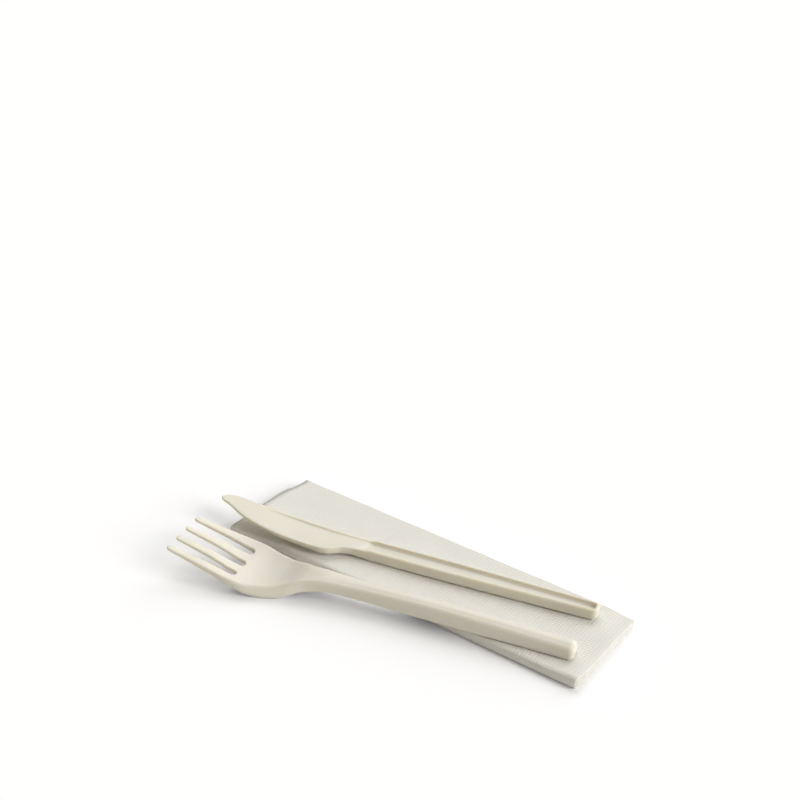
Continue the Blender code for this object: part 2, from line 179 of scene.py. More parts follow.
class CutleryColours(bpy.types.PropertyGroup):
    """Colours of the pieces and brightness of the studio"""

    fork_plastic: bpy.props.FloatVectorProperty(
        name="Fork", description="Colour of the moulded fork",
        default=(0.71, 0.68, 0.61), size=3, min=0, max=1, subtype="COLOR")
    knife_plastic: bpy.props.FloatVectorProperty(
        name="Knife", description="Colour of the moulded knife",
        default=(0.70, 0.67, 0.585), size=3, min=0, max=1, subtype="COLOR")
    tissue: bpy.props.FloatVectorProperty(
        name="Tissue", description="Colour of the napkin",
        default=(0.775, 0.755, 0.72), size=3, min=0, max=1, subtype="COLOR")
    right_light: bpy.props.FloatProperty(
        name="Right light", description="Strength of the low soft light from the right",
        default=2.4, min=0.0, max=10.0)
    back_light: bpy.props.FloatProperty(
        name="Back light", description="Strength of the low soft light from behind",
        default=0.95, min=0.0, max=10.0)
    high_light: bpy.props.FloatProperty(
        name="High light", description="Strength of the high soft light from behind the left",
        default=1.12, min=0.0, max=10.0)
    sky_strength: bpy.props.FloatProperty(
        name="Surroundings", description="Strength of the even light from all round",
        default=0.26, min=0.0, max=2.0)


# Shape tools

def smooth(stations, x):
    """Height at x of a smooth curve through (x, height) stations, which never overshoots them."""
    xs, ys = np.array(stations, float).T
    steps = np.diff(xs)
    slopes = np.diff(ys) / steps
    rates = np.zeros(len(xs))
    for i in range(1, len(xs) - 1):
        if slopes[i - 1] * slopes[i] > 0:
            rates[i] = 2 / (1 / slopes[i - 1] + 1 / slopes[i])
    rates[0], rates[-1] = slopes[0], slopes[-1]
    x = np.clip(x, xs[0], xs[-1])
    i = np.clip(np.searchsorted(xs, x, side="right") - 1, 0, len(steps) - 1)
    t = (x - xs[i]) / steps[i]
    rise = ys[i + 1] - ys[i]
    start = rates[i] * steps[i] - rise
    end = rise - rates[i + 1] * steps[i]
    return ys[i] + rise * t + t * (1 - t) * (start * (1 - t) + end * t)


def ease(share):
    share = np.clip(share, 0, 1)
    return share * share * (3 - 2 * share)


def quarter_round(share):
    """Height of a quarter circle of radius 1 at share of the way in from its foot."""
    share = np.clip(share, 0, 1)
    return np.sqrt(1 - (1 - share) ** 2)


def round_end(x, end, radius):
    """How much a round end of this radius takes off a half-width at x, from 0 to the radius."""
    into = np.clip(radius - np.abs(end - x), 0, radius)
    return radius - np.sqrt(radius * radius - into * into)


def even_steps(points, step):
    """The polyline drawn again with even steps, without its last point."""
    points = np.array(points, float)
    along = np.concatenate(([0], np.cumsum(np.linalg.norm(np.diff(points, axis=0), axis=1))))
    count = max(1, round(along[-1] / step))
    wanted = np.arange(count) * along[-1] / count
    return np.column_stack([np.interp(wanted, along, points[:, axis]) for axis in (0, 1)])


def outline_distance(points, outline):
    """Distance from each point to the closed outline, and the nearest stretch's number."""
    along = np.roll(outline, -1, axis=0) - outline
    squared = (along ** 2).sum(1)
    nearest = np.empty(len(points))
    index = np.empty(len(points), int)
    for start in range(0, len(points), 1000):
        offset = points[start:start + 1000, None, :] - outline[None]
        share = np.clip((offset * along).sum(2) / squared, 0, 1)
        gap = ((offset - share[..., None] * along) ** 2).sum(2)
        index[start:start + 1000] = gap.argmin(1)
        nearest[start:start + 1000] = np.sqrt(gap.min(1))
    return nearest, index


def inside_outline(points, outline):
    following = np.roll(outline, -1, axis=0)
    inside = np.zeros(len(points), bool)
    for a, b in zip(outline, following):
        crosses = (a[1] > points[:, 1]) != (b[1] > points[:, 1])
        if crosses.any():
            x = a[0] + (points[:, 1] - a[1]) * (b[0] - a[0]) / (b[1] - a[1])
            inside ^= crosses & (points[:, 0] < x)
    return inside


def spread_out(points, gap):
    """The points that keep this gap from those kept before them."""
    kept, cells = [], {}
    for point in points:
        cell = (int(point[0] // gap), int(point[1] // gap))
        near = (cells.get((cell[0] + i, cell[1] + j)) for i in (-1, 0, 1) for j in (-1, 0, 1))
        if all(other is None or math.dist(point, other) >= gap for other in near):
            cells[cell] = point
            kept.append(point)
    return np.array(kept).reshape(-1, 2)


def fill_outline(outline, rows, spacing):
    """Points and triangles over an outline, with rows of points at set distances inside it."""
    along = np.roll(outline, -1, axis=0) - np.roll(outline, 1, axis=0)
    along /= np.linalg.norm(along, axis=1)[:, None]
    inward = np.column_stack((-along[:, 1], along[:, 0]))
    found = [outline]
    for distance in rows:
        moved = outline + inward * distance
        nearest, _ = outline_distance(moved, outline)
        moved = moved[(nearest > 0.97 * distance) & inside_outline(moved, outline)]
        found.append(spread_out(moved, 0.55 * spacing))
    low, high = outline.min(0), outline.max(0)
    lines = np.arange(low[1], high[1], spacing * 0.866)
    grid = []
    for number, y in enumerate(lines):
        xs = np.arange(low[0] + (number % 2) * spacing / 2, high[0], spacing)
        grid.append(np.column_stack((xs, np.full(len(xs), y))))
    grid = np.concatenate(grid)
    grid = grid[inside_outline(grid, outline)]
    nearest, _ = outline_distance(grid, outline)
    found.append(grid[nearest > rows[-1] + 0.6 * spacing])
    points = np.concatenate(found) / MM
    corners = [Vector(point) for point in points]
    made = delaunay_2d_cdt(corners, [], [list(range(len(outline)))], 1, 0.00001)
    points = np.array([tuple(corner) for corner in made[0]]) * MM
    return points, np.array([face for face in made[2] if len(face) == 3])


def solid_between(name, points, triangles, top, bottom):
    """A closed mesh from one plan, with heights for its upper and lower side and a wall between."""
    count = len(points)
    corners = np.concatenate((np.column_stack((points, top)), np.column_stack((points, bottom))))
    a, b, c = (points[triangles[:, i]] for i in range(3))
    turn = (b[:, 0] - a[:, 0]) * (c[:, 1] - a[:, 1]) - (b[:, 1] - a[:, 1]) * (c[:, 0] - a[:, 0])
    triangles = np.where((turn < 0)[:, None], triangles[:, ::-1], triangles)
    faces = triangles.tolist() + (triangles[:, ::-1] + count).tolist()
    edges = set()
    for p, q, r in triangles.tolist():
        edges |= {(p, q), (q, r), (r, p)}
    for p, q in edges:
        if (q, p) not in edges:
            faces.append((q, p, p + count, q + count))
    mesh = bpy.data.meshes.new(name)
    mesh.from_pydata(corners.tolist(), [], faces)
    bm = bmesh.new()
    bm.from_mesh(mesh)
    bmesh.ops.remove_doubles(bm, verts=bm.verts, dist=0.001 * MM)
    bmesh.ops.recalc_face_normals(bm, faces=bm.faces)
    bm.to_mesh(mesh)
    bm.free()
    mesh.shade_smooth()
    return mesh


def place(mesh, where, turn):
    mesh.transform(Matrix.Translation((*where, 0)) @ Matrix.Rotation(turn, 4, "Z"))


def show(name, mesh, finish, node):
    """Adds a finished piece in place of its plain solid."""
    for old in list(bpy.data.objects):
        if old.name == name:
            bpy.data.objects.remove(old)
    piece = bpy.data.objects.new(name, mesh)
    mesh.name = name
    mesh.materials.clear()
    mesh.materials.append(finish)
    bpy.context.scene.collection.objects.link(piece)
    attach(piece, "root")
    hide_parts(node)
    return piece


# Materials

def socket(group, name, kind, default=None, output=False):
    made = group.interface.new_socket(
        name=name, in_out="OUTPUT" if output else "INPUT", socket_type=kind)
    if default is not None:
        made.default_value = default
    return made


def moulded_grain_group():
    """Fine grain of a satin mould: an uneven tone, a height and a gloss mask."""
    group = bpy.data.node_groups.new("moulded_grain", "ShaderNodeTree")
    socket(group, "Vector", "NodeSocketVector")
    socket(group, "Grain Scale", "NodeSocketFloat", 1800.0)
    socket(group, "Cloud Scale", "NodeSocketFloat", 60.0)
    socket(group, "Dark", "NodeSocketColor", (0.7, 0.66, 0.55, 1))
    socket(group, "Light", "NodeSocketColor", (0.8, 0.76, 0.65, 1))
    socket(group, "Colour", "NodeSocketColor", output=True)
    socket(group, "Height", "NodeSocketFloat", output=True)
    socket(group, "Gloss", "NodeSocketFloat", output=True)
    nodes, links = group.nodes, group.links
    given = nodes.new("NodeGroupInput")
    result = nodes.new("NodeGroupOutput")
    grain = nodes.new("ShaderNodeTexNoise")
    grain.inputs["Detail"].default_value = 3
    grain.inputs["Roughness"].default_value = 0.6
    cloud = nodes.new("ShaderNodeTexNoise")
    cloud.inputs["Detail"].default_value = 4
    mix = nodes.new("ShaderNodeMix")
    mix.data_type = "RGBA"
    soft = nodes.new("ShaderNodeMapRange")
    soft.inputs["From Min"].default_value = 0.35
    soft.inputs["From Max"].default_value = 0.65
    links.new(given.outputs["Vector"], grain.inputs["Vector"])
    links.new(given.outputs["Grain Scale"], grain.inputs["Scale"])
    links.new(given.outputs["Vector"], cloud.inputs["Vector"])
    links.new(given.outputs["Cloud Scale"], cloud.inputs["Scale"])
    links.new(cloud.outputs["Fac"], soft.inputs["Value"])
    links.new(soft.outputs["Result"], mix.inputs["Factor"])
    links.new(given.outputs["Dark"], mix.inputs["A"])
    links.new(given.outputs["Light"], mix.inputs["B"])
    links.new(mix.outputs["Result"], result.inputs["Colour"])
    links.new(grain.outputs["Fac"], result.inputs["Height"])
    links.new(soft.outputs["Result"], result.inputs["Gloss"])
    return group


def plastic_material(name, colour, cloud_scale):
    """Satin cream plastic with a fine mould grain and faint clouds in its tone."""
    finish = bpy.data.materials.new(name)
    finish.use_nodes = True
    nodes, links = finish.node_tree.nodes, finish.node_tree.links
    shader = nodes["Principled BSDF"]
    where = nodes.new("ShaderNodeTexCoord")
    grain = nodes.new("ShaderNodeGroup")
    grain.node_tree = bpy.data.node_groups.get("moulded_grain") or moulded_grain_group()
    grain.inputs["Cloud Scale"].default_value = cloud_scale
    grain.inputs["Dark"].default_value = (*[value * 0.975 for value in colour], 1)
    grain.inputs["Light"].default_value = (*[min(value * 1.02, 1) for value in colour], 1)
    rough = nodes.new("ShaderNodeMapRange")
    rough.inputs["To Min"].default_value = 0.46
    rough.inputs["To Max"].default_value = 0.38
    bump = nodes.new("ShaderNodeBump")
    bump.inputs["Strength"].default_value = 0.25
    bump.inputs["Distance"].default_value = 0.02 * MM
    links.new(where.outputs["Object"], grain.inputs["Vector"])
    links.new(grain.outputs["Colour"], shader.inputs["Base Color"])
    links.new(grain.outputs["Gloss"], rough.inputs["Value"])
    links.new(rough.outputs["Result"], shader.inputs["Roughness"])
    links.new(grain.outputs["Height"], bump.inputs["Height"])
    links.new(bump.outputs["Normal"], shader.inputs["Normal"])
    shader.inputs["Subsurface Weight"].default_value = 0.6
    shader.inputs["Subsurface Radius"].default_value = (1.0, 0.8, 0.4)
    shader.inputs["Subsurface Scale"].default_value = 2.2 * MM
    shader.inputs["IOR"].default_value = 1.46
    return finish


def tissue_material(colour, pitch):
    """Soft tissue: embossed dots along the sheet, fibres, a faint uneven tone, and painted shade that lightens
    the raised dots and darkens the hollows between them.
    """
    finish = bpy.data.materials.new("tissue_embossed")
    finish.use_nodes = True
    nodes, links = finish.node_tree.nodes, finish.node_tree.links
    shader = nodes["Principled BSDF"]
    sheet = nodes.new("ShaderNodeUVMap")
    sheet.uv_map = "UVMap"
    turned = nodes.new("ShaderNodeMapping")
    turned.inputs["Rotation"].default_value = (0, 0, math.radians(45))
    turned.inputs["Scale"].default_value = (math.sqrt(2) * math.pi / pitch,) * 3
    links.new(sheet.outputs["UV"], turned.inputs["Vector"])
    apart = nodes.new("ShaderNodeSeparateXYZ")
    links.new(turned.outputs["Vector"], apart.inputs["Vector"])

    def maths(operation, first, second=None):
        node = nodes.new("ShaderNodeMath")
        node.operation = operation
        for number, value in enumerate((first, second)):
            if isinstance(value, (int, float)):
                node.inputs[number].default_value = value
            elif value is not None:
                links.new(value, node.inputs[number])
        return node.outputs["Value"]

    dots = maths("MULTIPLY", maths("SINE", apart.outputs["X"]), maths("SINE", apart.outputs["Y"]))
    dots = maths("MULTIPLY", maths("ADD", dots, 1.0), 0.5)
    fibres = nodes.new("ShaderNodeTexNoise")
    fibres.inputs["Scale"].default_value = 2600
    fibres.inputs["Detail"].default_value = 4
    fibres.inputs["Roughness"].default_value = 0.65
    links.new(sheet.outputs["UV"], fibres.inputs["Vector"])
    clouds = nodes.new("ShaderNodeTexNoise")
    clouds.inputs["Scale"].default_value = 90
    clouds.inputs["Detail"].default_value = 3
    links.new(sheet.outputs["UV"], clouds.inputs["Vector"])
    height = maths("ADD", dots, maths("MULTIPLY", fibres.outputs["Fac"], 0.5))
    bump = nodes.new("ShaderNodeBump")
    bump.inputs["Strength"].default_value = 1.0
    bump.inputs["Distance"].default_value = 0.13 * MM
    links.new(height, bump.inputs["Height"])
    links.new(bump.outputs["Normal"], shader.inputs["Normal"])
    # Painted shade: the colour is lighter on the raised dots and darker between them, mixed half and half with
    # a random uneven tone.
    dot_shade_and_tone = maths("ADD", maths("MULTIPLY", dots, 0.5), maths("MULTIPLY", clouds.outputs["Fac"], 0.5))
    mix = nodes.new("ShaderNodeMix")
    mix.data_type = "RGBA"
    mix.inputs["A"].default_value = (*[value * 0.94 for value in colour], 1)
    mix.inputs["B"].default_value = (*[min(value * 1.03, 1) for value in colour], 1)
    links.new(dot_shade_and_tone, mix.inputs["Factor"])
    links.new(mix.outputs["Result"], shader.inputs["Base Color"])
    shader.inputs["Roughness"].default_value = 0.9
    shader.inputs["Specular IOR Level"].default_value = 0.2
    shader.inputs["Sheen Weight"].default_value = 0.15
    shader.inputs["Sheen Roughness"].default_value = 0.5
    return finish


# Fork

def fork_top(x):
    handle = TABLE + FORK_HANDLE_HEIGHT
    return smooth((
        (FORK_TIP, FORK_TIP_HEIGHT),
        (FORK_TIP + 14 * MM, FORK_TIP_HEIGHT - 2.8 * MM),
        (SLOT_ROOT, FORK_BELLY_HEIGHT + 1.3 * MM),
        (SHOULDER + 6 * MM, FORK_BELLY_HEIGHT),
        (SHOULDER + 13 * MM, FORK_BELLY_HEIGHT + 0.3 * MM),
        (SHOULDER + 25 * MM, handle - 1.4 * MM),
        (SHOULDER + 35 * MM, handle - 0.15 * MM),
        (0, handle),
        (30 * MM, handle + FORK_HANDLE_ARCH),
        (FORK_END, handle - 0.4 * MM),
    ), x)


def fork_bottom(x):
    return smooth((
        (FORK_TIP, FORK_TIP_HEIGHT - TINE_TIP_DEPTH),
        (FORK_TIP + 14 * MM, FORK_TIP_HEIGHT - 4.8 * MM),
        (SLOT_ROOT, 3.8 * MM),
        (SHOULDER + 5 * MM, 1.0 * MM),
        (FOOT, 0),
        (SHOULDER + 15 * MM, 0.35 * MM),
        (SHOULDER + 25 * MM, TABLE - 0.9 * MM),
        (SHOULDER + 36 * MM, TABLE + 0.8 * MM),
        (15 * MM, TABLE),
        (FORK_END, TABLE),
    ), x)


def fork_half(x):
    half = smooth((
        (FORK_TIP, TINE_SPREAD / 2 + TINE_TIP_HALF),
        (FORK_TIP + 14 * MM, FORK_HEAD_HALF - 1.2 * MM),
        (SLOT_ROOT, FORK_HEAD_HALF - 0.1 * MM),
        (SHOULDER + 1 * MM, FORK_HEAD_HALF),
        (SHOULDER + 9 * MM, FORK_HEAD_HALF - 2.0 * MM),
        (SHOULDER + 19 * MM, FORK_NECK_HALF + 5.7 * MM),
        (SHOULDER + 27 * MM, FORK_NECK_HALF + 2.5 * MM),
        (SHOULDER + 38 * MM, FORK_NECK_HALF + 0.9 * MM),
        (8 * MM, FORK_NECK_HALF),
        (FORK_END, FORK_END_HALF),
    ), x)
    return half - round_end(x, FORK_TIP, TINE_TIP_HALF) - round_end(x, FORK_END, FORK_END_ROUND)


def fork_crown(x):
    return smooth((
        (FORK_TIP, 0),
        (FORK_TIP + 14 * MM, -FORK_DISH + 1.5 * MM),
        (SLOT_ROOT, -FORK_DISH),
        (SHOULDER + 6 * MM, -FORK_DISH + 0.3 * MM),
        (SHOULDER + 20 * MM, -0.4 * MM),
        (SHOULDER + 34 * MM, FORK_CROWN),
        (FORK_END, FORK_CROWN),
    ), x)


def fork_sag(x):
    return smooth((
        (FORK_TIP + 16 * MM, 0), (SLOT_ROOT + 1 * MM, FORK_SAG), (HOLLOW_START, 0), (FORK_END, 0),
    ), x)


def slot_side(index):
    """Lower and upper side of a slot, from the tines' tips to its round root."""
    root_y = (index - 1) * SLOT_ROOT_SPREAD
    tip_y = (index - 1) * TINE_PITCH
    tip_half = TINE_PITCH / 2 - TINE_TIP_HALF
    flare = np.radians(np.linspace(90, 0, 13))
    xs = FORK_TIP + TINE_TIP_HALF * (1 - np.sin(flare))
    ys = tip_half + TINE_TIP_HALF * (1 - np.cos(flare))
    turn = np.radians(np.linspace(90, 0, 13))
    centre = SLOT_ROOT - SLOT_ROOT_HALF
    root = np.column_stack((centre + SLOT_ROOT_HALF * np.cos(turn), SLOT_ROOT_HALF * np.sin(turn)))
    lower = np.concatenate((np.column_stack((xs, tip_y - ys)), root * (1, -1) + (0, root_y)))
    upper = np.concatenate((np.column_stack((xs, tip_y + ys)), root + (0, root_y)))
    return lower, upper


def fork_outline(step):
    """The fork's outline with its slots, and which points of it belong to a slot."""
    xs = np.concatenate((
        FORK_TIP + TINE_TIP_HALF * (1 - np.cos(np.radians(np.linspace(0, 90, 20)))),
        np.arange(FORK_TIP + 1.3 * MM, FORK_END - FORK_END_ROUND, 0.3 * MM),
        FORK_END - FORK_END_ROUND * (1 - np.sin(np.radians(np.linspace(0, 90, 20)))),
    ))
    near = np.column_stack((xs, -fork_half(xs)))
    far = near[::-1] * (1, -1)
    parts = [even_steps(near, step), even_steps((near[-1], far[0]), step), even_steps(far, step)]
    count = sum(len(part) for part in parts)
    for index in (2, 1, 0):
        lower, upper = slot_side(index)
        parts.append(even_steps(np.concatenate((upper, lower[::-1][1:])), step))
    outline = np.concatenate(parts)
    return outline, np.arange(len(outline)) >= count


def fork_mesh(shape):
    outline, slots = fork_outline(shape.point_spacing)
    rows = [value * MM for value in FORK_ROWS]
    points, triangles = fill_outline(outline, rows, 1.6 * shape.point_spacing)
    inset, nearest = outline_distance(points, outline)
    x, y = points.T
    half, low, high = fork_half(x), fork_bottom(x), fork_top(x)
    depth = high - low
    draft = FORK_DRAFT * np.minimum(1, depth / FORK_HANDLE_HEIGHT)
    head = smooth(((SHOULDER + 4 * MM, 1.0), (SHOULDER + 24 * MM, 0.0)), x)
    reach = np.minimum(FORK_FOOT_ROUND, 0.2 * depth) + HEAD_UNDERCUT * head
    outer = np.minimum(np.minimum(shape.fork_edge_round, 0.45 * depth), 0.48 * half)
    across = np.clip(y / np.maximum(half - draft - outer, 0.3 * MM), -1, 1)
    face = high + fork_crown(x) * (1 - across ** 2)
    across = np.clip(y / np.maximum(half - reach, 0.3 * MM), -1, 1)
    low = low - fork_sag(x) * (1 - across ** 2)
    foot = reach + (HEAD_SIDE_SHARE * (face - low) - reach) * head
    slot = np.minimum(shape.slot_edge_round, 0.35 * (face - low))
    radius = np.where(slots[nearest], slot, outer)
    wall = low + foot + (face - radius - low - foot) * np.clip(inset / draft, 0, 1)
    rounded = face - radius * (1 - quarter_round((inset - draft) / radius))
    top = np.where(inset < draft, wall, rounded)
    bottom = low + foot * (1 - quarter_round(inset / reach))
    fade = smooth(((HOLLOW_START, 0.0), (HOLLOW_START + 14 * MM, 1.0), (FORK_END, 1.0)), x)
    room = half - FORK_DRAFT - FORK_WALL
    room = 0.5 * MM + (room - 0.5 * MM) * (0.55 + 0.45 * fade)
    within = np.minimum(room - np.abs(y), FORK_END - FORK_WALL - x)
    roof = (high + np.minimum(fork_crown(x), 0) - FORK_WALL - low) * fade
    bottom = bottom + roof * (0.85 * ease(within / (0.35 * MM)) + 0.15 * ease(within / (1.2 * MM)))
    mesh = solid_between("fork_moulded", points, triangles, top, bottom)
    place(mesh, FORK_PLACE, FORK_TURN)
    return mesh


# Knife

def knife_spine(x):
    return smooth((
        (KNIFE_TIP, 4.4 * MM), (KNIFE_TIP + 0.6 * MM, 5.8 * MM), (KNIFE_TIP + 2.6 * MM, 7.4 * MM),
        (KNIFE_TIP + 7 * MM, 8.0 * MM), (KNIFE_TIP + 16 * MM, 7.2 * MM), (KNIFE_TIP + 30 * MM, 5.6 * MM),
        (BLADE_ROOT - 14 * MM, KNIFE_HANDLE_HALF - 0.3 * MM), (BLADE_ROOT, KNIFE_HANDLE_HALF),
        (10 * MM, KNIFE_HANDLE_HALF), (KNIFE_END, KNIFE_END_HALF),
    ), x) - round_end(x, KNIFE_END, KNIFE_END_ROUND)


def knife_near(x):
    belly = 4.5 * MM - BLADE_DEPTH
    return smooth((
        (KNIFE_TIP, 4.0 * MM), (KNIFE_TIP + 0.8 * MM, 3.2 * MM), (KNIFE_TIP + 5 * MM, 1.3 * MM),
        (KNIFE_TIP + 13 * MM, -3.4 * MM), (KNIFE_TIP + 24 * MM, -7.2 * MM),
        (KNIFE_TIP + 36 * MM, belly + 0.7 * MM), (KNIFE_TIP + 51 * MM, belly),
        (KNIFE_TIP + 54 * MM, belly + 0.5 * MM), (KNIFE_TIP + 60.5 * MM, -KNIFE_HANDLE_HALF - 1.0 * MM),
        (KNIFE_TIP + 65 * MM, -KNIFE_HANDLE_HALF + 0.1 * MM), (BLADE_ROOT + 4 * MM, -KNIFE_HANDLE_HALF),
        (10 * MM, -KNIFE_HANDLE_HALF), (KNIFE_END, -KNIFE_END_HALF),
    ), x) + round_end(x, KNIFE_END, KNIFE_END_ROUND)


def knife_outline(step):
    xs = np.concatenate((
        np.arange(KNIFE_TIP, KNIFE_TIP + 4 * MM, 0.1 * MM),
        np.arange(KNIFE_TIP + 4 * MM, KNIFE_END - KNIFE_END_ROUND, 0.3 * MM),
        KNIFE_END - KNIFE_END_ROUND * (1 - np.sin(np.radians(np.linspace(0, 90, 24)))),
    ))
    near = np.column_stack((xs, knife_near(xs)))
    far = np.column_stack((xs, knife_spine(xs)))[::-1]
    parts = (near, (near[-1], far[0]), far, (far[-1], near[0]))
    return np.concatenate([even_steps(part, step) for part in parts])


def knife_half_height(x, y, inset):
    """Half of the knife's thickness: rims along spine and handle, a bevel along the cutting edge."""
    full = KNIFE_HEIGHT / 2
    near, far = knife_near(x), knife_spine(x)
    width = far - near
    blade = smooth((
        (KNIFE_TIP, BLADE_TIP_THICKNESS / 2), (BLADE_ROOT - 20 * MM, BLADE_THICKNESS / 2),
        (BLADE_ROOT - 4 * MM, BLADE_ROOT_THICKNESS / 2),
    ), x)
    ramp = x - BLADE_ROOT + 0.9 * MM - RAMP_SKEW * y
    web = blade + (KNIFE_WEB / 2 - blade) * ease(ramp / RAMP_LENGTH + 0.5)
    far_rim = smooth((
        (KNIFE_TIP + 16 * MM, BLADE_TIP_THICKNESS / 2 + 0.15 * MM),
        (BLADE_ROOT - 25 * MM, SPINE_THICKNESS / 2 - 0.2 * MM),
        (BLADE_ROOT, SPINE_THICKNESS / 2), (BLADE_ROOT + 3 * MM, full),
    ), x)
    far_rim = np.maximum(far_rim, blade)
    near_rim = smooth((
        (KNIFE_TIP + 36 * MM, 0), (KNIFE_TIP + 54 * MM, BLADE_HEEL / 2 + 0.2 * MM),
        (BLADE_ROOT - 1 * MM, full * 0.8), (BLADE_ROOT + 3 * MM, full),
    ), x)
    near_rim = np.maximum(near_rim, blade)
    near_side = smooth((
        (KNIFE_TIP + 24 * MM, BLADE_EDGE / 2), (KNIFE_TIP + 54 * MM, BLADE_HEEL / 2),
        (BLADE_ROOT - 3 * MM, full * 0.7), (BLADE_ROOT + 3 * MM, full - KNIFE_EDGE_ROUND),
    ), x)
    bevel = smooth(((KNIFE_TIP + 54 * MM, BLADE_BEVEL), (BLADE_ROOT - 3 * MM, KNIFE_EDGE_ROUND)), x)
    radius = np.minimum(np.minimum(KNIFE_EDGE_ROUND, 0.15 * width), 0.6 * far_rim)
    far_side = far_rim - radius + radius * quarter_round(inset / radius)
    fall = ease((inset - KNIFE_RIM) / (1.6 * KNIFE_RIM_SLOPE))
    far_side = far_side + (web - far_rim) * fall
    near_edge = near_side + (near_rim - near_side) * quarter_round(inset / bevel)
    fall = ease((inset - bevel - KNIFE_RIM + KNIFE_EDGE_ROUND) / (1.6 * KNIFE_RIM_SLOPE))
    near_edge = near_edge + (web - near_rim) * fall
    share = (y - near) / width
    return near_edge + (far_side - near_edge) * ease((share - 0.35) / 0.3)


def knife_mesh(shape):
    outline = knife_outline(shape.point_spacing)
    rows = [value * MM for value in KNIFE_ROWS]
    points, triangles = fill_outline(outline, rows, 1.4 * shape.point_spacing)
    inset, _ = outline_distance(points, outline)
    x, y = points.T
    middle = TABLE + KNIFE_HEIGHT / 2 + BLADE_RISE * np.maximum(0, (BLADE_ROOT - x) / (69 * MM))
    half = knife_half_height(x, y, inset)
    mesh = solid_between("knife_moulded", points, triangles, middle + half, middle - half)
    place(mesh, KNIFE_PLACE, KNIFE_TURN)
    return mesh


# Napkin

LEAF_LEVELS = (0, 7, 4, 3, 2, 5, 6, 1)  # levels of the eight folds, along the sheet
LEVEL_COUNT = len(LEAF_LEVELS)
FOLD_SQUARENESS = 0.7  # 1 bends a fold in a half circle, less presses it flatter


def turn_place(number):
    """Where across the strip the fold after this layer bends: nested folds bend round one middle."""
    pitch = NAPKIN_HIGH.z / LEVEL_COUNT
    folds = list(zip(LEAF_LEVELS, LEAF_LEVELS[1:]))
    nest = [abs(a - b) / 2 for other, (a, b) in enumerate(folds)
            if other % 2 == number % 2 and a + b == sum(folds[number])]
    reach = (max(nest) + 0.5) * pitch
    return NAPKIN_LOW.y + reach if number % 2 == 0 else NAPKIN_HIGH.y - reach


def fold_path():
    """The sheet's path across the strip as (y, z): eight layers, folded in half three times."""
    pitch = NAPKIN_HIGH.z / LEVEL_COUNT
    loose = NAPKIN_HIGH.y - 0.3 * MM
    path = []
    for number, level in enumerate(LEAF_LEVELS):
        low = pitch * (level + 0.5)
        last = number == LEVEL_COUNT - 1
        start = turn_place(number - 1) if number else loose
        end = loose if last else turn_place(number)
        count = round(abs(end - start) / (1.6 * MM if level == LEVEL_COUNT - 1 else 4 * MM))
        path += [(start + (end - start) * i / count, low) for i in range(count + 1)]
        if not last:
            radius = pitch * (LEAF_LEVELS[number + 1] - level) / 2
            out = -abs(radius) if number % 2 == 0 else abs(radius)
            turns = np.radians(np.linspace(0, 180, 21))[1:-1]
            reach, rise = np.sin(turns), np.cos(turns)
            reach = out * np.abs(reach) ** FOLD_SQUARENESS
            rise = radius * (1 - np.sign(rise) * np.abs(rise) ** FOLD_SQUARENESS)
            path += list(zip(end + reach, low + rise))
    return path


def leaf_path():
    """The doubled leaf's path along the strip as (x, offset): left edge, right fold, left edge."""
    half = NAPKIN_HIGH.z / LEVEL_COUNT / 4
    left, right = NAPKIN_LOW.x, NAPKIN_HIGH.x - half
    xs = np.linspace(left, right, 80)
    turns = np.radians(np.linspace(90, -90, 7))[1:-1]
    path = [(x, half) for x in xs]
    path += [(right + half * math.cos(a), half * math.sin(a)) for a in turns]
    path += [(x, -half) for x in xs[::-1]]
    return path


def guide_curve(name, points):
    curve = bpy.data.curves.new(name, "CURVE")
    curve.dimensions = "3D"
    spline = curve.splines.new("POLY")
    spline.points.add(len(points) - 1)
    for point, where in zip(spline.points, points):
        point.co = (*where, 1)
    guide = bpy.data.objects.new(name, curve)
    bpy.context.scene.collection.objects.link(guide)
    return guide


